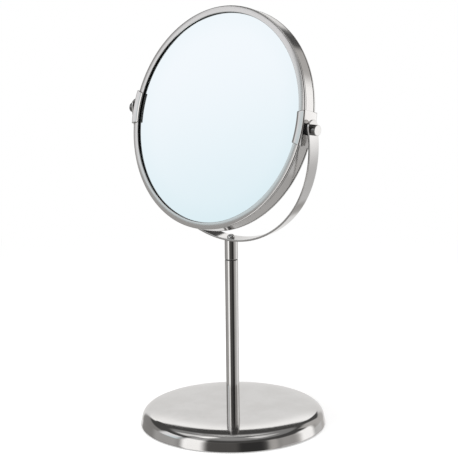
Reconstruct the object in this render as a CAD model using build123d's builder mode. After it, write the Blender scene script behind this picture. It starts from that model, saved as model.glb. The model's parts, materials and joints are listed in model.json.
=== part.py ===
from build123d import *
import os
from math import cos, radians, sin, sqrt, tan

# A round, two-sided tabletop makeup mirror in stainless steel, in millimetres.
# The origin is on the table under the middle of the base. +Z is up, +X runs along
# the tilt pivots, and the plain glass faces -Y. A weighted base carries a slim tube,
# a short turning neck carries a strip yoke, and the head tilts between two knobs.

# Base
base_radius = 72.6  # at the wall's lower edge
base_height = 14.2  # top of the dome, where the tube stands
dome_drop = 2.0  # how much lower the dome would be at the base's radius
wall_draft = 12.0  # degrees that the wall leans inwards
shoulder_radius = 8.0
shell_sheet = 1.0
shell_lift = 1.0  # the wall's lower edge above the table
shell_edge_round = 0.4
pad_thickness = 3.0
pad_gap = 0.6  # round the pad, inside the wall
weight_inset = 6.6  # the weight's edge inside the base's radius
weight_thickness = 6.2
weight_boss_radius = 14.0

# Bolt that pulls tube, shell and weight together
bolt_radius = 3.0
bolt_head_width = 10.0  # across its flats
bolt_head_height = 4.0
bolt_engagement = 12.0  # length in the lower insert
bolt_washer_radius = 7.0
bolt_washer_thickness = 1.2
bolt_pocket_gap = 1.0
bolt_hole_gap = 0.2
thread_gap = 0.05

# Stem
tube_radius = 5.1
tube_wall = 1.0
tube_length = 117.5
tube_edge_break = 0.25
insert_gap = 0.02  # plug to tube bore, pressed in
lower_insert_length = 18.0
upper_insert_length = 14.0

# Neck that turns on the tube
neck_washer_thickness = 0.6
neck_washer_step = 0.35  # how far the washer stays inside the tube's outline
spigot_radius = 3.2
spigot_length = 8.2
swivel_gap = 0.05
collar_length = 15.6  # from the washer to the yoke, on the stem's axis
ring_section = 0.9
ring_height = 4.6  # groove above the tube's top
ring_depth = 0.6  # into the spigot
ring_reach = 0.7  # out of the spigot
ring_mouth = 3.0
ring_gap = 0.15

# Yoke
yoke_lean = 6.0  # degrees towards the front, as the photographed one stands
yoke_gap = 3.8  # between the head's rim and the yoke
yoke_arm = 5.1  # straight part of each arm, from the bend to the pivots
yoke_strip_thickness = 1.5
yoke_strip_width = 10.6
yoke_edge_round = 0.3
yoke_tab_height = 7.4  # above the pivots
yoke_seat_gap = 0.02
yoke_screw_head_radius = 3.0
yoke_screw_head_height = 2.4
yoke_screw_radius = 2.0
yoke_screw_length = 6.0
yoke_hole_gap = 0.15

# Head
head_radius = 85.0
head_depth = 13.6
head_tilt = 22.0  # degrees back from the yoke's plane at rest
bezel_sheet = 0.9
bezel_face = 5.2
bezel_fold = 2.0  # how far the bezel folds over the edge
bezel_round = 0.8
bezel_lip_round = 0.35
seam_width = 0.45
rim_step = 0.15  # the satin band lies this far inside the bezels
rim_sheet = 0.9
glass_thickness = 2.5
glass_overlap = 2.7  # glass behind the bezel's face
glass_gap = 0.3
magnifier_curve = 750.0  # radius of the concave glass
board_thickness = 1.4
board_gap = 0.3
mount_ring_gap = 0.1
mount_flange = 5.6  # reach of the flange under the glasses
flange_gap = 0.1

# Pivots
clip_sheet = 1.0
clip_fit = 0.15
clip_height = 27.0
clip_lip_overhang = 0.4  # the lip's reach past the bezel's face
clip_corner_round = 1.1
clip_end_apex = 40.0  # the slanted ends point at this radius
knob_radius = 4.0
knob_length = 4.0
knob_edge_break = 0.4
shoulder_pin_radius = 2.0
pivot_gap = 0.05  # pin to yoke, and pieces that rub
thread_radius = 1.5
pivot_hole_gap = 0.1
pivot_washer_radius = 4.6
nut_width = 5.0
nut_thickness = 2.4
nut_gap = 0.1
nut_wall = 3.3  # plastic between nut and rim

# The yoke goes round the head, and its pivots stand over the bend
yoke_inner_radius = head_radius + yoke_gap
yoke_radius = yoke_inner_radius + yoke_strip_thickness
pivot_reach = yoke_radius + yoke_arm

# Heights on the stem's axis
tube_top = base_height + tube_length
collar_bottom = tube_top + neck_washer_thickness
foot_height = collar_bottom + collar_length

# Yoke frame: it leans about its foot, where its underside crosses the stem's axis
lean = radians(yoke_lean)
yoke_up = Vector(0, -sin(lean), cos(lean))
foot = Vector(0, 0, foot_height)
yoke_face = Plane(origin=foot, x_dir=(1, 0, 0), z_dir=(0, -cos(lean), -sin(lean)))
foot_plane = Plane(origin=foot, x_dir=(1, 0, 0), z_dir=yoke_up)
pivot = foot + yoke_up * pivot_reach

# Head frame: its front looks forwards and up by what is left of the tilt
rest_angle = radians(head_tilt - yoke_lean)
head_front = Vector(0, -cos(rest_angle), sin(rest_angle))
head_axis = Axis(pivot, head_front)
head_face = Plane(origin=pivot, x_dir=(1, 0, 0), z_dir=head_front)
# In this plane x is the radius and y the depth, positive towards the front
head_section = Plane(origin=pivot, x_dir=(1, 0, 0), z_dir=(0, -sin(rest_angle), -cos(rest_angle)))

# Depths and radii in the head, counted from its middle
half_depth = head_depth / 2
glass_face = half_depth - bezel_sheet
glass_back = glass_face - glass_thickness
window_radius = head_radius - bezel_face
glass_radius = window_radius + glass_overlap
rim_half_width = half_depth - bezel_fold - seam_width
rim_radius = head_radius - rim_step
mount_ring_radius = min(rim_radius - rim_sheet, head_radius - bezel_sheet) - mount_ring_gap
mount_bore = glass_radius + glass_gap
flange_bore = mount_bore - mount_flange
clip_inner_radius = head_radius + clip_fit
clip_outer_radius = clip_inner_radius + clip_sheet

os.makedirs("parts", exist_ok=True)


def arc_drop(curve_radius, reach):
    """How far a circle of this radius falls away at this distance from its crown."""
    return curve_radius - sqrt(curve_radius**2 - reach**2)


def finish(builder, name):
    """Label the finished piece and write it."""
    builder.part.label = name
    export_step(builder.part, f"parts/{name}.step")


# Base: one outline serves the shell's outside and, drawn in by the sheet, its inside
dome_curve = (base_radius**2 + dome_drop**2) / (2 * dome_drop)
draft = radians(wall_draft)


def wall_reach(height, inset):
    """Radius of the wall at this height, drawn in square to it by inset."""
    return base_radius - (height - shell_lift) * tan(draft) - inset / cos(draft)


def base_section(inset, floor):
    """Half section of the base's form, drawn in by inset, down to the floor."""
    ceiling = base_height + inset
    with BuildSketch(Plane.XZ) as section:
        with BuildLine():
            Polyline(
                (0, floor),
                (wall_reach(floor, inset), floor),
                (wall_reach(ceiling, inset), ceiling),
                (0, ceiling),
                close=True,
            )
        make_face()
        with Locations((0, base_height - dome_curve)):
            Circle(dome_curve - inset, mode=Mode.INTERSECT)
        fillet(section.vertices().sort_by(Axis.Y)[-2], shoulder_radius - inset)
    return section.sketch


with BuildPart() as base_shell:
    revolve(base_section(0, shell_lift), axis=Axis.Z)
    revolve(base_section(shell_sheet, 0), axis=Axis.Z, mode=Mode.SUBTRACT)
    with BuildSketch(Plane.XY):
        Circle(bolt_radius + bolt_hole_gap)
    extrude(amount=base_height * 2, mode=Mode.SUBTRACT)
    fillet(base_shell.edges().group_by(Axis.Z)[0], shell_edge_round)
finish(base_shell, "base_shell")

# The pad fills the shell's mouth and is what the mirror stands on
with BuildPart() as base_pad:
    with BuildSketch(Plane.XY):
        Circle(wall_reach(pad_thickness, shell_sheet) - pad_gap)
    extrude(amount=pad_thickness)
finish(base_pad, "base_pad")

# The weight's boss reaches up to the shell's crown, and the bolt pulls on it
inner_curve = dome_curve - shell_sheet
boss_top = base_height - shell_sheet - arc_drop(inner_curve, weight_boss_radius)
bolt_head_seat = pad_thickness + bolt_head_height + bolt_washer_thickness + bolt_pocket_gap / 2

with BuildPart() as base_weight:
    with BuildSketch(Plane.XY.offset(pad_thickness)):
        Circle(base_radius - weight_inset)
    extrude(amount=weight_thickness)
    with BuildSketch(Plane.XY.offset(pad_thickness)):
        Circle(weight_boss_radius)
    extrude(amount=boss_top - pad_thickness)
    with BuildSketch(Plane.XY.offset(pad_thickness)):
        Circle(bolt_washer_radius + bolt_pocket_gap)
    extrude(amount=bolt_head_seat - pad_thickness, mode=Mode.SUBTRACT)
    with BuildSketch(Plane.XY.offset(pad_thickness)):
        Circle(bolt_radius + bolt_hole_gap)
    extrude(amount=base_height, mode=Mode.SUBTRACT)
finish(base_weight, "base_weight")

with BuildPart() as bolt_washer:
    with BuildSketch(Plane.XY.offset(bolt_head_seat - bolt_washer_thickness)):
        Circle(bolt_washer_radius)
        Circle(bolt_radius + bolt_hole_gap, mode=Mode.SUBTRACT)
    extrude(amount=bolt_washer_thickness)
finish(bolt_washer, "bolt_washer")

bolt_head_top = bolt_head_seat - bolt_washer_thickness
bolt_end = base_height + bolt_engagement

with BuildPart() as stem_bolt:
    with BuildSketch(Plane.XY.offset(bolt_head_top - bolt_head_height)):
        RegularPolygon(bolt_head_width / 2, 6, major_radius=False)
    extrude(amount=bolt_head_height)
    with BuildSketch(Plane.XY.offset(bolt_head_top)):
        Circle(bolt_radius)
    extrude(amount=bolt_end - bolt_head_top)
finish(stem_bolt, "stem_bolt")

# Stem: a plain tube with a pressed-in plug at each end
tube_bore = tube_radius - tube_wall
insert_radius = tube_bore - insert_gap

with BuildPart() as stem_tube:
    with BuildSketch(Plane.XY.offset(base_height)):
        Circle(tube_radius)
        Circle(tube_bore, mode=Mode.SUBTRACT)
    extrude(amount=tube_length)
    chamfer(
        stem_tube.edges().group_by(Axis.Z)[-1].sort_by(SortBy.LENGTH)[-1],
        tube_edge_break,
    )
finish(stem_tube, "stem_tube")

with BuildPart() as lower_insert:
    with BuildSketch(Plane.XY.offset(base_height)):
        Circle(insert_radius)
    extrude(amount=lower_insert_length)
    with BuildSketch(Plane.XY.offset(base_height)):
        Circle(bolt_radius + thread_gap)
    extrude(amount=bolt_engagement + bolt_pocket_gap, mode=Mode.SUBTRACT)
finish(lower_insert, "lower_insert")

# The spigot stands out of the tube, and a groove near its end holds the spring ring
ring_floor = spigot_radius - ring_depth
ring_bottom = tube_top + ring_height
ring_outer = spigot_radius + ring_reach

with BuildPart() as upper_insert:
    with BuildSketch(Plane.XY.offset(tube_top - upper_insert_length)):
        Circle(insert_radius)
    extrude(amount=upper_insert_length)
    with BuildSketch(Plane.XY.offset(tube_top)):
        Circle(spigot_radius)
    extrude(amount=spigot_length)
    with BuildSketch(Plane.XY.offset(ring_bottom - ring_gap / 2)):
        Circle(spigot_radius + ring_reach)
        Circle(ring_floor, mode=Mode.SUBTRACT)
    extrude(amount=ring_section + ring_gap, mode=Mode.SUBTRACT)
finish(upper_insert, "upper_insert")

with BuildPart() as retaining_ring:
    with BuildSketch(Plane.XY.offset(ring_bottom)):
        Circle(ring_outer)
        Circle(ring_floor + thread_gap, mode=Mode.SUBTRACT)
        with Locations((0, ring_outer)):
            Rectangle(ring_mouth, 2 * ring_outer, mode=Mode.SUBTRACT)
    extrude(amount=ring_section)
finish(retaining_ring, "retaining_ring")

with BuildPart() as neck_washer:
    with BuildSketch(Plane.XY.offset(tube_top)):
        Circle(tube_radius - neck_washer_step)
        Circle(spigot_radius + swivel_gap, mode=Mode.SUBTRACT)
    extrude(amount=neck_washer_thickness)
finish(neck_washer, "neck_washer")

# Neck: the collar turns on the spigot, and its top is hollowed to the yoke's bend
collar_bore_depth = spigot_length - neck_washer_thickness + ring_gap

with BuildPart() as neck_collar:
    with BuildSketch(Plane.XY.offset(collar_bottom)):
        Circle(tube_radius)
    extrude(amount=collar_length + tube_radius)
    with BuildSketch(yoke_face):
        with Locations((0, yoke_radius)):
            Circle(yoke_radius + yoke_seat_gap)
    extrude(amount=2 * tube_radius, both=True, mode=Mode.SUBTRACT)
    with BuildSketch(Plane.XY.offset(collar_bottom)):
        Circle(spigot_radius + swivel_gap)
    extrude(amount=collar_bore_depth, mode=Mode.SUBTRACT)
    with BuildSketch(Plane.XY.offset(ring_bottom - ring_gap)):
        Circle(ring_outer + ring_gap)
    extrude(amount=ring_section + 2 * ring_gap, mode=Mode.SUBTRACT)
    with BuildSketch(foot_plane):
        Circle(yoke_screw_radius + thread_gap)
    extrude(amount=-yoke_screw_length, mode=Mode.SUBTRACT)
    chamfer(
        neck_collar.edges().group_by(Axis.Z)[0].sort_by(SortBy.LENGTH)[-1],
        tube_edge_break,
    )
finish(neck_collar, "neck_collar")

# Yoke: a flat strip bent to a half circle with straight arms and round ends
tab_top = pivot_reach + yoke_tab_height


def side_plane(side, distance):
    """Plane square to the pivot axis, facing outwards on one side."""
    return Plane(origin=pivot + Vector(side * distance, 0, 0), x_dir=(0, 1, 0), z_dir=(side, 0, 0))


with BuildPart() as yoke_strip:
    with BuildSketch(yoke_face):
        with BuildLine():
            Line((-yoke_radius, tab_top), (-yoke_radius, yoke_radius))
            ThreePointArc((-yoke_radius, yoke_radius), (0, 0), (yoke_radius, yoke_radius))
            Polyline(
                (yoke_radius, yoke_radius),
                (yoke_radius, tab_top),
                (yoke_inner_radius, tab_top),
                (yoke_inner_radius, yoke_radius),
            )
            ThreePointArc(
                (yoke_inner_radius, yoke_radius),
                (0, yoke_strip_thickness),
                (-yoke_inner_radius, yoke_radius),
            )
            Polyline(
                (-yoke_inner_radius, yoke_radius),
                (-yoke_inner_radius, tab_top),
                (-yoke_radius, tab_top),
            )
        make_face()
    extrude(amount=yoke_strip_width / 2, both=True)
    fillet(yoke_strip.edges().filter_by(Axis.X), yoke_strip_width / 2 - yoke_hole_gap)
    fillet(
        yoke_strip.edges().filter_by(lambda edge: edge.length > 2 * yoke_strip_thickness),
        yoke_edge_round,
    )
    with BuildSketch(foot_plane):
        Circle(yoke_screw_radius + yoke_hole_gap)
    extrude(amount=2 * yoke_strip_thickness, both=True, mode=Mode.SUBTRACT)
    for side in (-1, 1):
        with BuildSketch(side_plane(side, yoke_inner_radius - yoke_strip_thickness)):
            Circle(shoulder_pin_radius + pivot_gap)
        extrude(amount=3 * yoke_strip_thickness, mode=Mode.SUBTRACT)
finish(yoke_strip, "yoke_strip")

screw_seat = yoke_strip_thickness + arc_drop(yoke_inner_radius, yoke_screw_head_radius)
screw_crown = screw_seat + yoke_screw_head_height
screw_end = yoke_strip_thickness - yoke_screw_length

with BuildPart() as yoke_screw:
    with BuildSketch(yoke_face):
        with BuildLine():
            Polyline(
                (0, screw_crown),
                (0, screw_end),
                (yoke_screw_radius, screw_end),
                (yoke_screw_radius, screw_seat),
                (yoke_screw_head_radius, screw_seat),
            )
            TangentArc(
                (0, screw_crown),
                (yoke_screw_head_radius, screw_seat),
                tangent=(1, 0),
            )
        make_face()
    revolve(axis=Axis(foot, yoke_up))
finish(yoke_screw, "yoke_screw")


# Head: both bezels are one section, turned over for the back
def section_points(points, side):
    """Section points with their depth turned to the front (1) or the back (-1)."""
    return [(radius, side * depth) for radius, depth in points]


for side, name in ((1, "front_bezel"), (-1, "rear_bezel")):
    with BuildPart() as bezel:
        with BuildSketch(head_section) as section:
            with BuildLine():
                Polyline(
                    *section_points(
                        [
                            (window_radius, half_depth),
                            (head_radius, half_depth),
                            (head_radius, half_depth - bezel_fold),
                            (head_radius - bezel_sheet, half_depth - bezel_fold),
                            (head_radius - bezel_sheet, glass_face),
                            (window_radius, glass_face),
                        ],
                        side,
                    ),
                    close=True,
                )
            make_face()
            corners = section.vertices().sort_by(lambda corner: side * corner.Y)[-2:]
            fillet(corners.sort_by(Axis.X)[-1], bezel_round)
            fillet(corners.sort_by(Axis.X)[0], bezel_lip_round)
        revolve(axis=head_axis)
    finish(bezel, name)

with BuildPart() as rim_band:
    with BuildSketch(head_section):
        with Locations((rim_radius - rim_sheet / 2, 0)):
            Rectangle(rim_sheet, 2 * rim_half_width)
    revolve(axis=head_axis)
    for side in (-1, 1):
        with BuildSketch(side_plane(side, rim_radius - 2 * rim_sheet)):
            Circle(thread_radius + pivot_hole_gap)
        extrude(amount=4 * rim_sheet, mode=Mode.SUBTRACT)
finish(rim_band, "rim_band")

with BuildPart() as front_mirror:
    with BuildSketch(head_face.offset(glass_back)):
        Circle(glass_radius)
    extrude(amount=glass_thickness)
finish(front_mirror, "front_mirror")

# The magnifying glass is an even shell: its edge rests on the rear bezel
magnifier_sag = arc_drop(magnifier_curve, glass_radius)


def magnifier_depth(radius, face):
    """Depth of the concave glass at a radius: face 0 is its outside, face 1 its inside."""
    return magnifier_sag - arc_drop(magnifier_curve, radius) - glass_face + face * glass_thickness


with BuildPart() as rear_mirror:
    with BuildSketch(head_section):
        with BuildLine():
            for face in (0, 1):
                ThreePointArc(
                    (0, magnifier_depth(0, face)),
                    (glass_radius / 2, magnifier_depth(glass_radius / 2, face)),
                    (glass_radius, magnifier_depth(glass_radius, face)),
                )
            for radius in (0, glass_radius):
                Line((radius, magnifier_depth(radius, 0)), (radius, magnifier_depth(radius, 1)))
        make_face()
    revolve(axis=head_axis)
finish(rear_mirror, "rear_mirror")

with BuildPart() as backing_board:
    with BuildSketch(head_face.offset(glass_back - board_thickness)):
        Circle(flange_bore - board_gap)
    extrude(amount=board_thickness)
finish(backing_board, "backing_board")

# The mount ring lines the rim, and its flange parts the two glasses
flange_front = glass_back
flange_rear = magnifier_depth(flange_bore, 1) + flange_gap
nut_outer = mount_ring_radius - nut_wall

with BuildPart() as mount_ring:
    with BuildSketch(head_section):
        with BuildLine():
            Polyline(
                (mount_ring_radius, glass_face),
                (mount_bore, glass_face),
                (mount_bore, flange_front),
                (flange_bore, flange_front),
                (flange_bore, flange_rear),
                (mount_bore, flange_rear),
                (mount_bore, -glass_face),
                (mount_ring_radius, -glass_face),
                close=True,
            )
        make_face()
    revolve(axis=head_axis)
    for side in (-1, 1):
        with BuildSketch(side_plane(side, flange_bore)):
            Circle(thread_radius + pivot_hole_gap)
        extrude(amount=mount_flange * 2, mode=Mode.SUBTRACT)
        with BuildSketch(head_face):
            with Locations((side * nut_outer / 2, 0)):
                Rectangle(nut_outer, nut_width + 2 * nut_gap)
        extrude(amount=glass_back, both=True, mode=Mode.SUBTRACT)
finish(mount_ring, "mount_ring")

# Pivots, left and right
shoulder_start = clip_outer_radius + pivot_gap
knob_start = yoke_radius + pivot_gap
thread_end = nut_outer - nut_gap - nut_thickness
lip_radius = window_radius - clip_lip_overhang
clip_depth = half_depth + clip_fit
lip_depth = clip_depth + clip_sheet

for side, hand in ((-1, "left"), (1, "right")):
    # A saddle of sheet over the rim, with slanted ends
    with BuildPart() as side_clip:
        with BuildSketch(head_section) as saddle:
            with BuildLine():
                Polyline(
                    (lip_radius, lip_depth),
                    (clip_outer_radius, lip_depth),
                    (clip_outer_radius, -lip_depth),
                    (lip_radius, -lip_depth),
                    (lip_radius, -clip_depth),
                    (clip_inner_radius, -clip_depth),
                    (clip_inner_radius, clip_depth),
                    (lip_radius, clip_depth),
                    close=True,
                )
            make_face()
            fillet(saddle.vertices().group_by(Axis.X)[-1], clip_corner_round)
        revolve(axis=head_axis)
        end_slope = clip_height / 2 / (clip_outer_radius - clip_end_apex)
        reach = 2 * clip_outer_radius - clip_end_apex
        with BuildSketch(head_face):
            with BuildLine():
                Polyline(
                    (side * clip_end_apex, 0),
                    (side * reach, -end_slope * (reach - clip_end_apex)),
                    (side * reach, end_slope * (reach - clip_end_apex)),
                    close=True,
                )
            make_face()
        extrude(amount=head_depth, both=True, mode=Mode.INTERSECT)
        with BuildSketch(side_plane(side, window_radius)):
            Circle(thread_radius + pivot_hole_gap)
        extrude(amount=2 * bezel_face, mode=Mode.SUBTRACT)
    finish(side_clip, f"side_clip_{hand}")

    # A spacer between the clip and the yoke's arm
    with BuildPart() as pivot_washer:
        with BuildSketch(side_plane(side, clip_outer_radius + pivot_gap)):
            Circle(pivot_washer_radius)
            Circle(shoulder_pin_radius + pivot_gap, mode=Mode.SUBTRACT)
        extrude(amount=yoke_inner_radius - clip_outer_radius - 2 * pivot_gap)
    finish(pivot_washer, f"pivot_washer_{hand}")

    # The knob is a shoulder screw: its shoulder turns in the yoke, its thread holds the head
    with BuildPart() as pivot_knob:
        with BuildSketch(side_plane(side, knob_start)):
            Circle(knob_radius)
        extrude(amount=knob_length)
        chamfer(
            pivot_knob.edges().sort_by(lambda edge: side * edge.center().X)[-1],
            knob_edge_break,
        )
        with BuildSketch(side_plane(side, shoulder_start)):
            Circle(shoulder_pin_radius)
        extrude(amount=knob_start - shoulder_start)
        with BuildSketch(side_plane(side, thread_end)):
            Circle(thread_radius)
        extrude(amount=shoulder_start - thread_end)
    finish(pivot_knob, f"pivot_knob_{hand}")

    with BuildPart() as pivot_nut:
        with BuildSketch(side_plane(side, thread_end)):
            Rectangle(nut_width, nut_width, rotation=side * (yoke_lean - head_tilt))
            Circle(thread_radius + thread_gap, mode=Mode.SUBTRACT)
        extrude(amount=nut_thickness)
    finish(pivot_nut, f"pivot_nut_{hand}")
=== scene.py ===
# %% [markdown]
# A tabletop makeup mirror in stainless steel
#
# The mirror is a weighted round base, a slim tube, a U of flat strip on a turning neck, and a
# round head with a glass on each side that tilts between two knobs. The solid parts arrive as
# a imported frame. Here every part that the eye meets is rebuilt as a smooth surface, because
# polished steel shows each flat facet of a tessellated solid as a broken reflection.

import json

import bmesh
import bpy
import numpy as np
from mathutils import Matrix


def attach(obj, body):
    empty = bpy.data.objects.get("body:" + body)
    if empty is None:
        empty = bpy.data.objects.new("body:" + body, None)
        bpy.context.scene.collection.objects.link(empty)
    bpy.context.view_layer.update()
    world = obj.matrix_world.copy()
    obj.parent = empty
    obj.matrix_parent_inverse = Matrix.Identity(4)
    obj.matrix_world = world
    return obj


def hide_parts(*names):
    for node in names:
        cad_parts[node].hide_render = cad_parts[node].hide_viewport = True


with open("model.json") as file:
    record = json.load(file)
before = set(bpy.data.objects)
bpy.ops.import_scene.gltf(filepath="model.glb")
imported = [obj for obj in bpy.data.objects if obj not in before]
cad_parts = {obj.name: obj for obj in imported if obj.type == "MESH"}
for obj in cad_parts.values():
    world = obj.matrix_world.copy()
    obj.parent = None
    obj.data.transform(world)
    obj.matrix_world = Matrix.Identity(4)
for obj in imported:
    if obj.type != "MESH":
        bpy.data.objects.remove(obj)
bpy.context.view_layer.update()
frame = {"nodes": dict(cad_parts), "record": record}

# %% [markdown]
# Sizes
#
# Every surface below starts from the sizes that the solids have, in millimetres. Two leaning
# frames carry the moving parts: the yoke leans forward about its foot, and the head leans back
# about the pivots. A frame here is a point and three directions, and a surface is worked out in
# the frame's own coordinates before it is placed. Two names need a word: the yoke's trim is what
# its edges take off its width, and the clip's spot is the place inside the head, counted from
# its middle, that the clip's slanted ends point to.

# %% Sizes and leaning frames
MM = 0.001
BASE = dict(
    radius=72.6, height=14.2, drop=2.0, draft=np.radians(12), shoulder=8.0, sheet=1.0, lift=1.0
)
STEM = dict(radius=5.1, wall=1.0, length=117.5, washer=0.6, collar=15.6)
YOKE = dict(inner=88.8, outer=90.3, width=10.6, trim=0.15, arm=5.1, tab=7.4, lean=np.radians(6))
SCREW = dict(radius=3.0, seat=1.55, top=4.0, shank=2.0, end=-4.4)
KNOB = dict(radius=4.0, length=4.0, gap=0.05, shank=2.0, tip=1.5, start=79.0, step=86.2)
SPACER = dict(radius=4.6, bore=2.05, start=86.2, end=88.75)
HEAD = dict(radius=85.0, half=6.8, window=79.8, glass=82.5, sheet=0.9, fold=2.0, band=84.85)
CLIP = dict(outer=86.15, inner=85.15, lip=79.4, far=7.8, near=6.95, bend=1.1, spot=40, half=13.5)
SIDES = ((-1, "left"), (1, "right"))

foot_height = BASE["height"] + STEM["length"] + STEM["washer"] + STEM["collar"]
yoke_up = np.array([0, -np.sin(YOKE["lean"]), np.cos(YOKE["lean"])])
foot = np.array([0, 0, foot_height])
pivot = foot + yoke_up * (YOKE["outer"] + YOKE["arm"])
head_lean = np.radians(16)
head_front = np.array([0, -np.cos(head_lean), np.sin(head_lean)])
head_up = np.array([0, np.sin(head_lean), np.cos(head_lean)])
across = np.array([1.0, 0, 0])

UPRIGHT = (np.zeros(3), across, np.array([0, 1.0, 0]), np.array([0, 0, 1.0]))
YOKE_FRAME = (foot, across, np.cross(yoke_up, across), yoke_up)
HEAD_FRAME = (pivot, across, head_up, head_front)


def side_frame(side):
    """The frame of one pivot: its third direction points outwards along the pivot axis."""
    return (pivot, np.array([0, 1.0, 0]), np.array([0, 0, 1.0]) * side, across * side)


print("pivots at", pivot.round(3), "mm")

# %% [markdown]
# Grids become meshes
#
# A surface of two parameters is a grid of points. One function turns a grid into a mesh: each
# cell becomes a face, a direction that closes on itself wraps round, and points that fall
# together, as at a pole, are merged. The signed volume tells whether the faces look outwards.

# %% A grid of points becomes a piece
FINISHES = {}
SAME_PLACE = 1e-7


def place(points, where):
    """Points of a frame become points of the object: origin + x first + y second + z third."""
    origin, first, second, third = where
    return origin + points[..., :1] * first + points[..., 1:2] * second + points[..., 2:] * third


def grid_faces(rows, columns, wrap_rows, wrap_columns):
    """Corner numbers of each cell: (i, j), (i+1, j), (i+1, j+1), (i, j+1), taken round where the
    grid wraps."""
    i, j = np.meshgrid(
        np.arange(rows if wrap_rows else rows - 1),
        np.arange(columns if wrap_columns else columns - 1),
        indexing="ij",
    )
    i2, j2 = (i + 1) % rows, (j + 1) % columns
    cells = np.stack([i * columns + j, i2 * columns + j, i2 * columns + j2, i * columns + j2], -1)
    return cells.reshape(-1, 4)


def piece(name, points, faces, body, finish, nodes):
    """A mesh object from points in millimetres and faces, smooth, closed and facing outwards."""
    mesh = bpy.data.meshes.new(name)
    mesh.from_pydata((points * MM).tolist(), [], faces.tolist())
    work = bmesh.new()
    work.from_mesh(mesh)
    bmesh.ops.remove_doubles(work, verts=work.verts, dist=SAME_PLACE)
    bmesh.ops.dissolve_degenerate(work, edges=work.edges, dist=SAME_PLACE)
    loose = [edge for edge in work.edges if edge.is_wire]
    bmesh.ops.delete(work, geom=loose, context="EDGES")
    if work.calc_volume(signed=True) < 0:
        bmesh.ops.reverse_faces(work, faces=work.faces)
    work.to_mesh(mesh)
    open_edges = sum(1 for edge in work.edges if not edge.is_manifold)
    work.free()
    mesh.shade_smooth()
    made = bpy.data.objects.new(name, mesh)
    bpy.context.scene.collection.objects.link(made)
    mesh.materials.append(FINISHES[finish])
    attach(made, body)
    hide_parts(*nodes)
    print(f"{name}: {len(mesh.polygons)} faces, {open_edges} open edges")
    return made


# %% [markdown]
# Rounded outlines and turned parts
#
# Pressed and turned parts have small rounded edges, and these catch the light as thin bright
# lines. An outline is given by its corners and a radius for each. Close to both ends of each
# arc lies one more point, a guard, so that smooth shading stays inside the arc and the flats
# stay flat. A rounded outline that would touch the axis stops just beside it, with a corner too
# small to see.

# %% Outlines with rounded corners
GUARD = 0.04
NEAR_AXIS, SHARP = 0.001, 0.0005


def unit(vectors):
    """Each vector divided by its length."""
    return vectors / np.linalg.norm(vectors, axis=-1, keepdims=True)


def rounded(corners, radii, steps=6):
    """A closed outline with an arc in each corner. The arc's ends lie radius / tan(half the
    angle) from the corner, and its points turn evenly from one end to the other."""
    corners = np.array(corners, float)
    radii = np.broadcast_to(np.array(radii, float), len(corners))[:, None]
    back, ahead = unit(np.roll(corners, 1, 0) - corners), unit(np.roll(corners, -1, 0) - corners)
    half = np.arccos(np.clip((back * ahead).sum(1, keepdims=True), -1, 1)) / 2
    first, last = corners + back * radii / np.tan(half), corners + ahead * radii / np.tan(half)
    centre = corners + unit(back + ahead) * radii / np.sin(half)
    sweep = np.pi - 2 * half
    t = np.linspace(0, 1, steps)[None, :, None]
    start, end = (first - centre)[:, None], (last - centre)[:, None]
    turn = sweep[:, None]
    arc = centre[:, None] + (np.sin((1 - t) * turn) * start + np.sin(t * turn) * end) / np.sin(turn)
    arc = np.concatenate([(first + back * GUARD)[:, None], arc, (last + ahead * GUARD)[:, None]], 1)
    return arc.reshape(-1, 2)


def guarded(outline, longest=0.25):
    """Adds a point close to both ends of each long edge, so that smooth shading leaves it flat."""
    ahead = np.roll(outline, -1, 0) - outline
    length = np.linalg.norm(ahead, axis=1, keepdims=True)
    step = GUARD * ahead / length
    three = np.stack([outline, outline + step, outline + ahead - step], 1)
    long = length[:, 0] > longest
    return three[np.stack([np.ones(len(outline), bool), long, long], 1)]


def turned(outline, where, turns):
    """A closed outline of (radius, height) carried round the frame's third direction:
    x = radius * cos(a), y = radius * sin(a), z = height."""
    a = np.linspace(0, 2 * np.pi, turns, endpoint=False)
    radius, height = outline[:, :1], outline[:, 1:]
    grid = np.stack([radius * np.cos(a), radius * np.sin(a), height + 0 * a], -1)
    return place(grid, where).reshape(-1, 3), grid_faces(len(outline), turns, True, True)


# %% [markdown]
# Reading shader maths as sentences
#
# A finish is a small network of nodes. To keep it readable, one class wraps a socket, so that
# plain arithmetic on it adds the Math nodes, and one method makes any other node.


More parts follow.
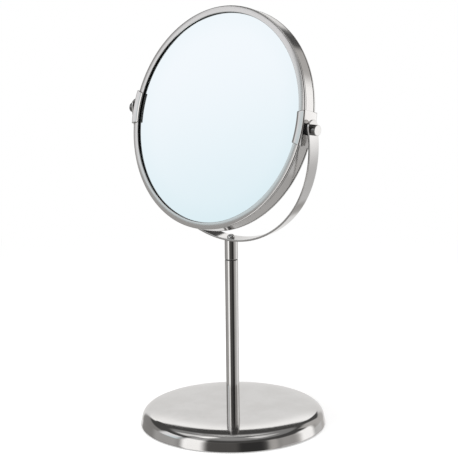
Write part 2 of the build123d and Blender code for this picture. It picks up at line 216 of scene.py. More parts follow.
# %% A socket that takes part in arithmetic
class Tone:
    """A shader socket in a node tree. Arithmetic on it adds Math nodes."""

    def __init__(self, tree, socket=None):
        self.tree, self.socket = tree, socket

    def node(self, kind, settings=None, values=None, output=0):
        """Adds a node: its settings first, then its sockets' values or links."""
        made = self.tree.nodes.new(kind)
        for key, value in (settings or {}).items():
            setattr(made, key, value)
        for key, value in (values or {}).items():
            if isinstance(value, Tone):
                self.tree.links.new(value.socket, made.inputs[key])
            else:
                made.inputs[key].default_value = value
        return Tone(self.tree, made.outputs[output] if made.outputs else None)

    def math(self, operation, *values):
        """Adds a Math node."""
        return self.node("ShaderNodeMath", {"operation": operation}, dict(enumerate(values)))

    def __add__(self, other):
        return self.math("ADD", self, other)

    def __mul__(self, other):
        return self.math("MULTIPLY", self, other)

    def __sub__(self, other):
        return self.math("SUBTRACT", self, other)

    def __rsub__(self, other):
        return self.math("SUBTRACT", other, self)

    __radd__ = __add__

    def dot(self, direction, offset=(0, 0, 0)):
        """Distance of a point along a direction, counted from the offset."""
        values = {0: self, 1: tuple(offset)}
        moved = self.node("ShaderNodeVectorMath", {"operation": "SUBTRACT"}, values)
        values = {0: moved, 1: tuple(float(x) for x in direction)}
        return self.node("ShaderNodeVectorMath", {"operation": "DOT_PRODUCT"}, values, "Value")

    def noise(self, scale, detail):
        """Fractal noise at this point."""
        values = {"Vector": self, "Scale": scale, "Detail": detail}
        return self.node("ShaderNodeTexNoise", values=values)

    def bump(self, strength, distance):
        """The surface's normal, bent by this value as a height over the given distance."""
        values = {"Height": self, "Strength": strength, "Distance": distance}
        return self.node("ShaderNodeBump", values=values)

    def rise(self, low, high):
        """0 below low, 1 above high, and a smooth step between."""
        values = {"Value": self, "From Min": low, "From Max": high}
        return self.node("ShaderNodeMapRange", {"interpolation_type": "SMOOTHSTEP"}, values)

    def between(self, low, high, soft):
        """1 between low and high, with soft edges, and 0 outside."""
        return self.rise(low - soft, low + soft) * (1 - self.rise(high - soft, high + soft))

    def mix(self, first, second):
        """A colour that goes from first to second as this value goes from 0 to 1."""
        values = {0: self, 6: first, 7: second}
        return self.node("ShaderNodeMix", {"data_type": "RGBA"}, values, 2)


def empty_tree(owner):
    """The node tree of a material or a world, switched on and emptied."""
    owner.use_nodes = True
    owner.node_tree.nodes.clear()
    return owner.node_tree


def finish(name, shader):
    """A material whose principled shader gets what the given function returns for a point."""
    material = bpy.data.materials.new(name)
    tree = empty_tree(material)
    point = Tone(tree).node("ShaderNodeTexCoord", output="Object")
    surface = Tone(tree).node("ShaderNodeBsdfPrincipled", values=shader(point))
    Tone(tree).node("ShaderNodeOutputMaterial", values={"Surface": surface})
    FINISHES[name] = material
    print("finish", name, len(tree.nodes), "nodes")


def grey(value, warmth=0.0):
    """A neutral colour, a little warmer or cooler."""
    return (value * (1 + warmth), value, value * (1 - warmth), 1)


# %% [markdown]
# Polished steel
#
# The base, stem, yoke and knobs are buffed stainless steel. Its colour is a light grey that is
# barely warm, and nearly all of its looks are reflections. Real buffing leaves a soft haze and
# sheet that isn't perfectly flat, so the roughness wanders a little and a very low, wide bump
# bends the reflections.


# %% Polished steel
def polished(point):
    """Metal whose roughness follows a soft cloud and whose normal follows wide, low waves."""
    cloud = point.noise(55.0, 3.0)
    haze = point.noise(900.0, 2.0)
    bump = haze.bump(0.05, 0.00005)
    return {
        "Base Color": cloud.rise(0.3, 0.7).mix(grey(0.62, 0.012), grey(0.66, 0.008)),
        "Metallic": 1.0,
        "Roughness": 0.05 + cloud * 0.06,
        "Normal": bump,
    }


finish("polished_steel", polished)

# %% [markdown]
# Satin steel
#
# The band round the head and its two bezels are brushed. Brushing leaves fine lines that run
# round the rim, and light smears across them. The lines are a noise that changes fast with
# depth and radius but hardly at all round the head, so they follow the rim everywhere.


# %% Satin steel
GRAIN_ACROSS, GRAIN_ALONG = 9000.0, 6.0


def round_head(point):
    """Distance from the head's axis, and the angle round it, for a point of the object."""
    right = point.dot(across, pivot * MM)
    up = point.dot(head_up, pivot * MM)
    return point.math("SQRT", right * right + up * up), point.math("ARCTAN2", up, right)


def satin(point):
    """Metal with bump lines: noise of (radius, depth) scaled up and the angle scaled down."""
    depth = point.dot(head_front, pivot * MM)
    radius, angle = round_head(point)
    values = {0: radius * GRAIN_ACROSS, 1: depth * GRAIN_ACROSS, 2: angle * GRAIN_ALONG}
    line = point.node("ShaderNodeCombineXYZ", values=values)
    grain = line.noise(1.0, 3.0)
    bump = grain.bump(0.08, 0.00004)
    return {
        "Base Color": grain.rise(0.3, 0.7).mix(grey(0.60, 0.012), grey(0.67, 0.01)),
        "Metallic": 1.0,
        "Roughness": 0.09 + grain * 0.08,
        "Normal": bump,
    }


finish("satin_steel", satin)

# %% [markdown]
# Mirror glass
#
# Silver behind glass gives back nearly everything, with a breath of the glass's blue-green.
# The tint deepens a little towards the edge, where one looks through more glass, and the
# faintest veil of dust keeps the surface from being perfect.


# %% Mirror glass
MIDDLE_TINT, EDGE_TINT = (0.88, 0.93, 0.955, 1), (0.85, 0.915, 0.94, 1)


def silvered(point):
    """A near perfect mirror, tinted, with a slightly deeper tint near the edge."""
    radius, _ = round_head(point)
    dust = point.noise(300.0, 4.0)
    return {
        "Base Color": radius.rise(0.06, 0.083).mix(MIDDLE_TINT, EDGE_TINT),
        "Metallic": 1.0,
        "Roughness": dust.rise(0.5, 0.9) * 0.02,
    }


finish("mirror_glass", silvered)

# %% [markdown]
# Turned knobs
#
# The knobs are turned from bar, with bright faced ends. Their sides are given a much darker
# colour: painted shade, standing in for the dark room that they reflect. One finish holds both,
# told apart by the distance from the object's middle along the pivots.


# %% Knob steel
knob_end = (YOKE["outer"] + KNOB["gap"] + KNOB["length"]) * MM


def knob_with_painted_shade(point):
    """Metal with a mask of the distance along the pivots: bright ends, and sides in painted shade.
    """
    aside = point.math("ABSOLUTE", point.dot(across))
    end = aside.rise(knob_end - 0.35 * MM, knob_end - 0.15 * MM)
    haze = point.noise(300.0, 3.0)
    return {
        # The sides' dark grey is painted shade, put in place of dark reflections.
        "Base Color": end.mix(grey(0.2, 0.01), grey(0.66, 0.008)),
        "Metallic": 1.0,
        "Roughness": 0.14 + haze * 0.05 - end * 0.08,
    }


finish("knob_steel_painted_shade", knob_with_painted_shade)

# %% [markdown]
# Black plastic and the hidden stuffs
#
# The ring that holds the glasses and the spacers at the pivots are dark moulded plastic with a
# fine grain. Inside and underneath are a cast weight, plated fasteners, a board and a foam pad.
# They show only from below or when the part is opened, and are kept simple but true.


# %% Plastic, plating, casting, foam and board
def moulded(point):
    """Dark plastic with a fine pebbled grain."""
    grain = point.noise(2500.0, 2.0)
    bump = grain.bump(0.2, 0.00005)
    colour = grain.mix(grey(0.012), grey(0.02))
    return {"Base Color": colour, "Roughness": 0.4 + grain * 0.15, "Normal": bump}


def plated(point):
    """Zinc plating: a pale metal with small uneven patches."""
    patch = point.node("ShaderNodeTexVoronoi", values={"Vector": point, "Scale": 700.0})
    colour = patch.mix(grey(0.55), grey(0.66))
    return {"Base Color": colour, "Metallic": 1.0, "Roughness": 0.28 + patch * 0.2}


def cast(point):
    """Cast iron: dark, rough and pitted."""
    pits = point.noise(700.0, 6.0)
    bump = pits.bump(0.6, 0.0002)
    colour = pits.mix(grey(0.03), grey(0.08))
    return {"Base Color": colour, "Metallic": 0.6, "Roughness": 0.7, "Normal": bump}


def foamed(point):
    """Foam sheet: grey-black with small closed cells."""
    cells = point.node("ShaderNodeTexVoronoi", values={"Vector": point, "Scale": 1400.0})
    bump = cells.bump(0.5, 0.0002)
    return {"Base Color": cells.mix(grey(0.02), grey(0.05)), "Roughness": 0.9, "Normal": bump}


def pressed_board(point):
    """Fibre board: brown-grey with matted fibres."""
    fibre = point.noise(500.0, 8.0)
    colour = fibre.mix((0.16, 0.12, 0.08, 1), (0.3, 0.24, 0.17, 1))
    return {"Base Color": colour, "Roughness": 0.9}


finish("black_plastic", moulded)
finish("plated_steel", plated)
finish("cast_iron", cast)
finish("foam_pad", foamed)
finish("fibre_board", pressed_board)

for part in frame["record"]["subparts"]:
    shown = frame["nodes"][part["node"]].data.materials
    shown.clear()
    shown.append(FINISHES[part["material_slot"]])
print("each node wears its slot's finish")

# %% [markdown]
# The base
#
# The base is one disc of sheet pressed over a form: a crown that is almost flat and turns down
# towards its edge, a wide soft shoulder, and a wall that leans in by 12 degrees, so the press
# can let go of it. Three plain arcs would make an outline too, but the steel's reflection shows
# each sudden change of bend. The crown is therefore a power curve that meets the shoulder with
# the shoulder's own slope.

# %% Base shell
CROWN_POWER = 8
ROUNDS = 40
LIP = 0.35


def shoulder_centre():
    """Where the shoulder's arc has its centre. It touches the leaning wall and the solid's crown,
    a circle that falls by drop over the radius, and both conditions are met in turn."""
    draft, radius, shoulder = BASE["draft"], BASE["radius"], BASE["shoulder"]
    curve = (radius**2 + BASE["drop"] ** 2) / (2 * BASE["drop"])
    height = BASE["height"] - BASE["drop"] - shoulder
    for _ in range(ROUNDS):
        reach = radius - (height - BASE["lift"]) * np.tan(draft) - shoulder / np.cos(draft)
        height = BASE["height"] - curve + np.sqrt((curve - shoulder) ** 2 - reach**2)
    return reach, height


def base_outline(inset):
    """Points from the axis over the crown, round the shoulder and down the wall. The crown falls
    by fall * (radius / edge)^power, and its slope at the edge, power * fall / edge, is also the
    shoulder's."""
    draft, floor = BASE["draft"], BASE["lift"]
    bend = BASE["shoulder"] - inset
    reach, height = shoulder_centre()
    slope = 0.1
    for _ in range(ROUNDS):
        edge = np.array([reach + bend * np.sin(slope), height + bend * np.cos(slope)])
        fall = BASE["height"] - inset - edge[1]
        slope = np.arctan(CROWN_POWER * fall / edge[0])
    top = np.pi / 2 - slope
    way = np.linspace(0, 1, 60) ** 0.5
    crown = np.stack([edge[0] * way, BASE["height"] - inset - fall * way**CROWN_POWER], -1)
    arc = np.linspace(top, draft, 24)[1:]
    arc = np.stack([reach + bend * np.cos(arc), height + bend * np.sin(arc)], -1)
    end = np.array([BASE["radius"] - inset / np.cos(draft), floor])
    wall = arc[-1] + (end - arc[-1]) * np.linspace(0, 1, 6)[1:, None]
    return np.concatenate([crown, arc, wall])


outside, inside = base_outline(0), base_outline(BASE["sheet"])
turn = np.linspace(0, np.pi, 7)[1:-1]
middle, half = (outside[-1] + inside[-1]) / 2, np.linalg.norm(outside[-1] - inside[-1]) / 2
lip = middle + np.stack([half * np.cos(turn), -LIP * np.sin(turn)], -1)
shell = np.concatenate([outside, lip, inside[::-1]])
points, faces = turned(shell, UPRIGHT, 320)
piece("base_cover", points, faces, "stand", "polished_steel", ["base_shell"])

# %% [markdown]
# Tube and collar
#
# The stem is a plain drawn tube with a tiny break at its top edge. The collar above the dark
# parting washer has the same outside. Its top is hollowed to sit on the round of the yoke, so
# its height changes as one goes round: it is the yoke's outer circle seen from the collar.

# %% Stem tube
SUNK = 0.02
bottom, top = BASE["height"] - SUNK, BASE["height"] + STEM["length"]
bore = STEM["radius"] - STEM["wall"]
outline = rounded(
    [(STEM["radius"], bottom), (STEM["radius"], top), (bore, top), (bore, bottom)],
    [0.05, 0.25, 0.1, 0.05],
)
points, faces = turned(outline, UPRIGHT, 96)
piece("stem_pole", points, faces, "stand", "polished_steel", ["stem_tube"])


# %% Neck collar
def collar_surface(turns=96):
    """Rings from the washer to the yoke: each has a radius, and a share of the height. At angle a
    the top lies where the collar's own circle meets the yoke's, at R - sqrt(R^2 - x^2), turned
    back by the lean."""
    a = np.linspace(0, 2 * np.pi, turns, endpoint=False)
    low = top + STEM["washer"]
    foot_rings = [(3.3, 0), (4.75, 0), (4.85, 0), (4.92, 0.004), (5.0, 0.009), (5.07, 0.016)]
    wall_rings = [(5.1, 0.022), (5.1, 0.03), (5.1, 0.5), (5.1, 0.985), (5.1, 0.993)]
    top_rings = [(5.06, 0.998), (4.98, 1), (4.9, 1), (3.3, 1)]
    rings, share = np.array(foot_rings + wall_rings + top_rings).T
    x, y = rings[:, None] * np.cos(a), rings[:, None] * np.sin(a)
    seat = YOKE["outer"] - np.sqrt((YOKE["outer"] + SUNK) ** 2 - x**2)
    high = foot_height + (seat + y * np.sin(YOKE["lean"])) / np.cos(YOKE["lean"])
    grid = np.stack([x, y, low + (high - low) * share[:, None]], -1)
    return grid.reshape(-1, 3), grid_faces(len(rings), turns, True, True)


points, faces = collar_surface()
piece("neck_sleeve", points, faces, "yoke", "polished_steel", ["neck_collar"])

# %% [markdown]
# The yoke
#
# The yoke is a flat strip bent to a half circle, with two short straight arms that end in round
# tabs. The strip is followed from tab to tab. At each station its cross section is the same
# rounded bar, except in the tabs, where the outline closes in a half circle. Each ring of the
# cross section is the tab's outline drawn in by a little, so the edge stays evenly rounded.


# %% Yoke strip
def strip_section(edge=0.3, flat=0.1):
    """The strip's section as an inset from its edge, a depth and a hand for each point: two
    quarter rounds of the edge's radius on one hand, and the same back on the other."""
    thick = YOKE["outer"] - YOKE["inner"]
    turn = np.linspace(0, np.pi / 2, 5)
    first, second = edge * (1 - np.sin(turn)), edge * (1 - np.cos(turn))
    inset = np.concatenate([[edge + flat], first, second, [edge + flat]])
    depth = np.concatenate([[0], second, thick - first, [thick]])
    hand = np.repeat([1.0, -1.0], len(inset))
    return np.concatenate([inset, inset[::-1]]), np.concatenate([depth, depth[::-1]]), hand


def strip_surface():
    """Grid of stations along the strip and points round its section. Along a tab the outline
    point is (s + r sin u, r cos u); on the bend, the way s is the angle times the radius."""
    half = (YOKE["width"] - YOKE["trim"]) / 2
    quarter = np.pi / 2 * YOKE["outer"]
    tip = quarter + YOKE["arm"] + YOKE["tab"] - half
    u = np.linspace(0, np.pi / 2, 14)
    arm = np.concatenate([np.linspace(quarter + 0.5, tip, 5)[:-1], np.full(len(u), tip)])
    way = np.concatenate([-arm[::-1], np.linspace(-quarter, quarter, 181), arm])[:, None]
    cap = np.concatenate([u[::-1], np.zeros(len(way) - 2 * len(u)), u])[:, None]
    inset, depth, hand = strip_section()
    reach = half - inset
    s = way + np.sign(way) * reach * np.sin(cap)
    t = hand * reach * np.cos(cap)
    bend = np.clip(s, -quarter, quarter)
    radius, turn = YOKE["outer"] - depth, bend / YOKE["outer"]
    rise = YOKE["outer"] - radius * np.cos(turn) + np.abs(s - bend)
    grid = np.stack([radius * np.sin(turn), t, rise], -1)
    return place(grid, YOKE_FRAME).reshape(-1, 3), grid_faces(*grid.shape[:2], False, True)


points, faces = strip_surface()
piece("yoke_band", points, faces, "yoke", "polished_steel", ["yoke_strip"])

# %% [markdown]
# Small turned parts
#
# The screw in the yoke, the knobs and the dark spacers are all turned, so each is an outline
# carried round its own axis. The knob's end face has a fine edge, which shows as a grey ring
# round a bright disc.

# %% Domed screw
turn = np.linspace(0, np.pi / 2, 12)
dome = SCREW["seat"] + (SCREW["top"] - SCREW["seat"]) * np.cos(turn)
dome = np.stack([SCREW["radius"] * np.sin(turn), dome], -1)
shank, under, end = SCREW["shank"], SCREW["seat"] - 0.05, SCREW["end"]
shaft = [(SCREW["radius"] - 0.1, under), (shank, under), (shank, end), (0.0, end)]
points, faces = turned(np.concatenate([dome, shaft]), YOKE_FRAME, 64)
piece("yoke_dome_screw", points, faces, "yoke", "polished_steel", ["yoke_screw"])


# %% Knobs and spacers
def knob_outline():
    """The thin tip, the smooth shank, and the head with its rounded corners. The head is drawn
    as a closed outline, and the arcs at its two corners near the axis are left out."""
    tip, shank, wide, step = KNOB["tip"], KNOB["shank"], KNOB["radius"], KNOB["step"]
    low = YOKE["outer"] + KNOB["gap"]
    high = low + KNOB["length"]
    corners = [(NEAR_AXIS, low), (wide, low), (wide, high), (NEAR_AXIS, high)]
    head = rounded(corners, [SHARP, 0.15, 0.4, SHARP])
    arc = len(head) // len(corners)
    rod = [(0.0, KNOB["start"]), (tip, KNOB["start"]), (tip, step)]
    rod += [(shank, step + 0.1), (shank, low)]
    return np.concatenate([rod, head[arc:-arc], [(0.0, high)]])


bore, wide = SPACER["bore"], SPACER["radius"]
low, high = SPACER["start"], SPACER["end"]
spacer = rounded([(bore, low), (wide, low), (wide, high), (bore, high)], 0.2)
for side, hand in SIDES:
    points, faces = turned(knob_outline(), side_frame(side), 80)
    nodes = [f"pivot_knob_{hand}"]
    piece(f"knob_{hand}", points, faces, "mirror_head", "knob_steel_painted_shade", nodes)
    points, faces = turned(spacer, side_frame(side), 64)
    nodes = [f"pivot_washer_{hand}"]
    piece(f"spacer_{hand}", points, faces, "mirror_head", "black_plastic", nodes)

# %% [markdown]
# Bezels and satin band
#
# Each bezel is a ring of thin sheet that frames a glass and folds a little way over the edge.
# Its face isn't flat but falls gently outwards, which is why its tone changes round the head
# while the glass beside it stays even. Between the two bezels runs the satin band. All three
# are outlines carried round the head's axis.


# %% Bezels and rim band
def bezel_outline():
    """The lip's round, a face that falls outwards by slow * t + (steep - slow) / 2 * t^2, the
    outer round, and the fold behind it, as (radius, depth)."""
    window, radius, face = HEAD["window"], HEAD["radius"], HEAD["half"]
    back, fold, inner = face - HEAD["sheet"], face - HEAD["fold"], radius - HEAD["sheet"]
    slow, steep = np.radians([1.5, 10])
    small, wide = 0.35, 0.8
    lip = np.linspace(np.pi, np.pi / 2 - slow, 9)
    lip = np.stack([window + small * (1 + np.cos(lip)), face + small * (np.sin(lip) - 1)], -1)
    start, end = lip[-1, 0], radius - wide + wide * np.sin(steep)
    t = np.linspace(0, 1, 26)[1:]
    fall = (end - start) * (np.tan(slow) * t + (np.tan(steep) - np.tan(slow)) / 2 * t**2)
    top = np.stack([start + (end - start) * t, lip[-1, 1] - fall], -1)
    turn = np.linspace(np.pi / 2 - steep, 0, 12)[1:]
    middle = top[-1] - wide * np.array([np.sin(steep), np.cos(steep)])
    corner = middle + wide * np.stack([np.cos(turn), np.sin(turn)], -1)
    rest = [(radius, fold + 0.1), (radius - 0.1, fold), (inner + 0.1, fold), (inner, fold + 0.1)]
    rest += [(inner, back), (window + 0.15, back), (window, back + 0.15)]
    return guarded(np.concatenate([lip, top, corner, rest]))


outline = bezel_outline()
for side, name, node in ((1, "bezel_front", "front_bezel"), (-1, "bezel_rear", "rear_bezel")):
    points, faces = turned(outline * [1, side], HEAD_FRAME, 360)
    piece(name, points, faces, "mirror_head", "satin_steel", [node])

seam = 0.45
width = HEAD["half"] - HEAD["fold"] - seam
band, inner = HEAD["band"], HEAD["band"] - HEAD["sheet"]
outline = rounded([(band, -width), (band, width), (inner, width), (inner, -width)], 0.15)
points, faces = turned(outline, HEAD_FRAME, 360)
piece("satin_band", points, faces, "mirror_head", "satin_steel", ["rim_band"])

# %% [markdown]
# The two glasses
#
# In a back-silvered mirror one looks through the glass at the silver, and glass makes it seem
# nearer than it is. The reflecting face is therefore laid a millimetre under the glass's own
# face, and the shadowed gap below the bezel's lip then shows as the dark line that such
# mirrors have along one side. The rear glass is hollow, to magnify.

# %% Flat and hollow mirror
SILVER_DEPTH, HOLLOW_RADIUS = 1.0, 750.0
FLAT_SHEET, HOLLOW_SHEET = 0.6, 0.7
reach = HEAD["glass"]
face = HEAD["half"] - HEAD["sheet"] - SILVER_DEPTH
rim = np.array([(reach, face - 0.05), (reach, face - FLAT_SHEET), (0.0, face - FLAT_SHEET)])
disc = np.stack([np.linspace(0, reach - 0.05, 24), np.full(24, face)], -1)
points, faces = turned(np.concatenate([disc, rim]), HEAD_FRAME, 240)
piece("plain_glass", points, faces, "mirror_head", "mirror_glass", ["front_mirror"])

radius = np.linspace(0, reach, 40)
hollow = np.sqrt(HOLLOW_RADIUS**2 - radius**2) - np.sqrt(HOLLOW_RADIUS**2 - reach**2) - face
hollow = np.stack([radius, hollow], -1)
shell = np.concatenate([hollow, hollow[::-1] + [0, HOLLOW_SHEET]])
points, faces = turned(shell, HEAD_FRAME, 240)
piece("magnifying_glass", points, faces, "mirror_head", "mirror_glass", ["rear_mirror"])

# %% [markdown]
# Side clips
#
# A polished saddle grips the rim at each pivot. Its section is a C of thin sheet, and it runs
# round the rim between two slanted ends that point towards a spot inside the head. For each
# ring of the section the ends lie where its circle meets that slanted line.


# %% Side clips
def clip_loop(inset):
    """The C-shaped section as a closed outline of (radius, depth), drawn in by inset."""
    outer, inner, lip = CLIP["outer"] - inset, CLIP["inner"] + inset, CLIP["lip"] + inset
    far, near, bend, crease = CLIP["far"] - inset, CLIP["near"] + inset, CLIP["bend"] - inset, 0.1
    turn, halfway = np.linspace(np.pi / 2, 0, 7), 82.0
    away = np.stack([np.sin(turn), np.cos(turn)], -1) - 1
    front, hollow = (outer, far) + bend * away, (inner, near) + crease * away
    edge = [(halfway, far), (lip + crease, far), (lip, far - crease)]
    outside = np.concatenate([[(outer, 0)], front, edge])
    edge = [(halfway, near), (lip + crease, near), (lip, near + crease)]
    lining = np.concatenate([[(inner, 0)], hollow, edge])
    outside = np.concatenate([outside[:0:-1] * [1, -1], outside])
    lining = np.concatenate([lining[:0:-1] * [1, -1], lining])
    return outside, lining


def clip_surface(side):
    """Stations round the rim. On a circle of radius r the slanted end, a line of slope k through
    (spot, 0), lies at the angle whose point (x, z) has z = k (x - spot)."""
    spot = CLIP["spot"]
    slope = CLIP["half"] / (CLIP["outer"] - spot)
    share = np.concatenate([[-1, -0.998], np.linspace(-0.99, 0.99, 31), [0.998, 1]])
    insets = np.concatenate([[0.2, 0.06], np.zeros(31), [0.06, 0.2]])
    loops = np.array([np.concatenate([a, b[::-1]]) for a, b in map(clip_loop, insets)])
    radius, depth = loops[..., 0], loops[..., 1]
    a, b, c = 1 + slope**2, -2 * slope**2 * spot, slope**2 * spot**2 - radius**2
    x = (-b + np.sqrt(b**2 - 4 * a * c)) / (2 * a)
    turn = np.arcsin(slope * (x - spot) / radius) * share[:, None]
    grid = np.stack([side * radius * np.cos(turn), radius * np.sin(turn), depth], -1)
    body = grid_faces(*grid.shape[:2], False, True)
    count, half = grid.shape[1], grid.shape[1] // 2
    strip = np.arange(half - 1)
    cap = np.stack([strip, strip + 1, count - 2 - strip, count - 1 - strip], -1)
    ends = np.concatenate([cap, cap[:, ::-1] + (len(share) - 1) * count])
    return place(grid, HEAD_FRAME).reshape(-1, 3), np.concatenate([body, ends])


for side, hand in SIDES:
    points, faces = clip_surface(side)
    piece(f"saddle_{hand}", points, faces, "mirror_head", "polished_steel", [f"side_clip_{hand}"])

# %% [markdown]
# Foam pad
#
# Under the base lies a thin sheet of foam, on which the mirror stands. It is flat below, and
# its cut edges are soft and a little rounded. A solid disc would have hard edges, so the pad
# is made anew from the solid's own reach and thickness.

# %% Foam pad
solid = frame["nodes"]["base_pad"].data
corners = np.empty(len(solid.vertices) * 3, np.float32)
solid.vertices.foreach_get("co", corners)
corners = corners.reshape(-1, 3).astype(float) / MM
wide = np.hypot(corners[:, 0], corners[:, 1]).max()
low, high = corners[:, 2].min(), corners[:, 2].max()
outline = [(wide, low), (wide, high), (NEAR_AXIS, high), (NEAR_AXIS, low)]
outline = rounded(outline, [0.9, 0.7, SHARP, SHARP])
points, faces = turned(outline, UPRIGHT, 180)
pad = piece("foam_foot", points, faces, "stand", "foam_pad", ["base_pad"])
print("pad", round(wide, 2), "mm in radius,", round(high - low, 2), "mm thick")

# %% [markdown]
# Camera
#
# The camera stands 42 degrees to the right of the mirror's front and looks down by 12 degrees,
# from 1.3 metres. These values come from laying the solid's rims over those in the photograph.

# %% Camera
DISTANCE, AIM_HEIGHT, AIM_ASIDE, FOCAL_LENGTH = 1304.06, 155.68, -1.549, 133.396
azimuth, elevation, roll = np.radians([42.391, 12.442, -0.681])
level = np.array([np.cos(azimuth), np.sin(azimuth), 0])
toward = np.array([np.sin(azimuth), -np.cos(azimuth), np.tan(elevation)]) * np.cos(elevation)
above = np.cross(toward, level)
right = level * np.cos(roll) + above * np.sin(roll)
upward = above * np.cos(roll) - level * np.sin(roll)
aim = level * AIM_ASIDE + [0, 0, AIM_HEIGHT]
eye = aim + toward * DISTANCE

lens = bpy.data.cameras.new("camera")
lens.sensor_width, lens.lens = 36, FOCAL_LENGTH
lens.clip_start, lens.clip_end = 0.05, 50
camera = bpy.data.objects.new("camera", lens)
bpy.context.scene.collection.objects.link(camera)
pose = np.eye(4)
pose[:3, :3], pose[:3, 3] = np.stack([right, upward, toward], -1), eye * MM
camera.matrix_world = pose.T
bpy.context.scene.camera = camera
print("camera at", (eye * MM).round(3))

# %% [markdown]
# The studio
#
# Steel shows the room that it stands in. A plain studio is worked out as one function of
# direction: a white backdrop behind the object that ends 30 degrees up, a grey room, tall soft
# boxes to the left and right, a dark gap between them where the photographer stands, and a dark
# ceiling with a ring of light. Directions are measured in degrees: an angle round from the
# camera's own side, positive to its right, and a height above the horizon. To the camera itself
# the surroundings are plain white.


# %% Surroundings as a function of direction
def surroundings(tree):
    """Radiance by direction. Each layer is a mask in angle and height with the tone inside it,
    and a later layer lies over an earlier one."""
    direction = Tone(tree).node("ShaderNodeTexCoord", output="Generated")
    front = (np.sin(azimuth), -np.cos(azimuth), 0)
    ahead, beside, height = direction.dot(front), direction.dot(level), direction.dot((0, 0, 1))
    degrees = float(180 / np.pi)
    angle = direction.math("ARCTAN2", beside, ahead) * degrees
    lift = direction.math("ARCSINE", height) * degrees
    behind = direction.math("ABSOLUTE", angle)
    low, ring = 1 - lift.rise(18, 30), lift.between(60, 78, 3)
    # The screen that the glass shows has two tints, which meet on a slanted line.
    slant = (lift - 15.5) * 0.09 - (angle + 86) * 0.07
    screen = slant.rise(-0.62, 0.28).mix((0.82, 0.92, 0.95, 1), (1.02, 1.015, 1.03, 1))
    wall = lift.rise(-30, -4).mix(grey(0.66, 0.01), grey(1.38, 0.01))
    ceiling = lift.rise(44, 50).mix(grey(0.08, 0.02), grey(0.28, 0.01))
    room = lift.rise(20, 26).mix(grey(0.30, 0.03), ceiling)
    layers = [
        # To the right of the backdrop
        (angle.between(120, 158, 8) * lift.between(-37, 18, 4), grey(0.55, 0.03)),
        (angle.between(112, 141, 3) * lift.between(14, 40, 4), grey(0.55, 0.03)),
        # To the right of the camera
        (angle.between(45, 56, 4) * low, grey(0.50, 0.04)),
        (angle.between(58, 84, 6) * lift.between(-8, 20, 3), grey(0.42, 0.03)),
        (angle.between(84, 100, 6) * lift.between(-8, 20, 3), grey(0.70, 0.03)),
        # The dark gap round the photographer
        (angle.between(-33, 42, 3) * low, grey(0.10, 0.04)),
        (angle.between(6, 38, 5) * low, grey(0.04, 0.02)),
        # Low down on the right
        (angle.between(60, 101, 4) * lift.between(-25, -6, 3), grey(0.62, 0.01)),
        (angle.between(101, 140, 4) * lift.between(-40, -6, 3), grey(0.66, 0.01)),
        # On the left: the screen that the glass shows, and the soft box beside it
        (angle.between(-114, -72, 7) * lift.between(-20, 5.5, 1.5), grey(0.46, 0.02)),
        (angle.between(-103, -72, 6) * lift.between(5.5, 32, 0.8), screen),
        (angle.between(-66, -38, 5) * lift.between(34, 52, 4), grey(0.50, 0.01)),
        (angle.between(-66, -38, 5) * (1 - lift.rise(30, 38)), grey(1.35, 0.01)),
        # The soft box on the right
        (angle.between(91, 116, 5) * low, wall),
        # The ring of light, and its brighter stretches
        (angle.between(-110, 110, 8) * ring, grey(0.35, 0.01)),
        (angle.between(-114, -80, 6) * lift.between(50, 78, 3), grey(0.90, 0.01)),
        (angle.between(-80, -52, 8) * ring, grey(1.50, 0.01)),
        (angle.between(45, 80, 8) * ring, grey(0.95, 0.01)),
        (angle.between(80, 110, 8) * ring, grey(0.70, 0.01)),
        (behind.rise(140, 150) * lift.between(60, 84, 4), grey(0.80, 0.01)),
        # The table
        (1 - lift.rise(-42, -38), grey(0.52, 0.02)),
    ]
    for mask, tone in layers:
        room = mask.mix(room, tone)
    backdrop = behind.rise(150, 158) * (1 - lift.rise(29.6, 30.8)) * lift.rise(-44, -34)
    room = backdrop.mix(room, lift.rise(18.5, 28).mix(grey(0.88, 0.01), grey(1.25, 0.01)))
    gap = angle.between(142, 162, 2) * lift.between(18.5, 44, 1.5)
    return gap.mix(room, grey(0.09, 0.01))


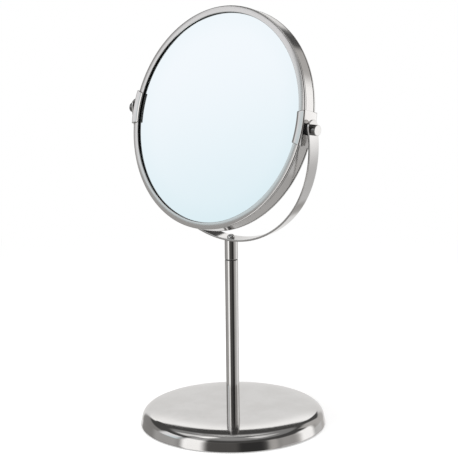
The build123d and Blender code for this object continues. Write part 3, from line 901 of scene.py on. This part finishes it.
world = bpy.data.worlds.new("studio")
bpy.context.scene.world = world
tree = empty_tree(world)
camera_ray = Tone(tree).node("ShaderNodeLightPath", output="Is Camera Ray")
colour = camera_ray.mix(surroundings(tree), grey(1.0))
background = Tone(tree).node("ShaderNodeBackground", values={"Color": colour, "Strength": 1.0})
Tone(tree).node("ShaderNodeOutputWorld", values={"Surface": background})
print("surroundings", len(tree.nodes), "nodes")

# %% [markdown]
# Floor and lamp
#
# The floor is plain and pale and keeps the object's soft shadow. To the camera it gives a
# little light of its own, and away from the object it is plain white paper. One large soft
# lamp overhead lights it. The lamp and the floor stay out of the steel's reflections, which
# come from the studio.

# %% Floor
SPAN = 4.0
corners = [(-SPAN, -SPAN, 0), (SPAN, -SPAN, 0), (SPAN, SPAN, 0), (-SPAN, SPAN, 0)]
mesh = bpy.data.meshes.new("floor")
mesh.from_pydata(corners, [], [(0, 1, 2, 3)])
floor = bpy.data.objects.new("floor", mesh)
bpy.context.scene.collection.objects.link(floor)
paper = bpy.data.materials.new("paper")
camera_ray = Tone(empty_tree(paper)).node("ShaderNodeLightPath", output="Is Camera Ray")
matte = camera_ray.node("ShaderNodeBsdfDiffuse", values={"Color": grey(0.8)})
values = {"Color": grey(1.0), "Strength": camera_ray * 0.45}
glow = camera_ray.node("ShaderNodeEmission", values=values)
near = camera_ray.node("ShaderNodeAddShader", values={0: matte, 1: glow})
point = camera_ray.node("ShaderNodeTexCoord", output="Object")
distance = camera_ray.node("ShaderNodeVectorMath", {"operation": "LENGTH"}, {0: point}, "Value")
away = camera_ray.node("ShaderNodeEmission", values={"Color": grey(1.0), "Strength": 1.0})
blend = distance.rise(0.2, 0.7) * camera_ray
shown = camera_ray.node("ShaderNodeMixShader", values={0: blend, 1: near, 2: away})
camera_ray.node("ShaderNodeOutputMaterial", values={"Surface": shown})
mesh.materials.append(paper)
floor.visible_glossy = False
print("floor", 2 * SPAN, "m wide")

# %% Lamp
lamp_data = bpy.data.lights.new("overhead", "AREA")
lamp_data.shape, lamp_data.size, lamp_data.energy = "DISK", 1.6, 16
lamp = bpy.data.objects.new("overhead", lamp_data)
lamp.location = (0.1, -0.2, 1.6)
lamp.visible_glossy = False
bpy.context.scene.collection.objects.link(lamp)
bpy.context.scene.view_settings.view_transform = "Standard"
print("lamp", round(lamp_data.size, 2), "m wide,", lamp_data.energy, "W")
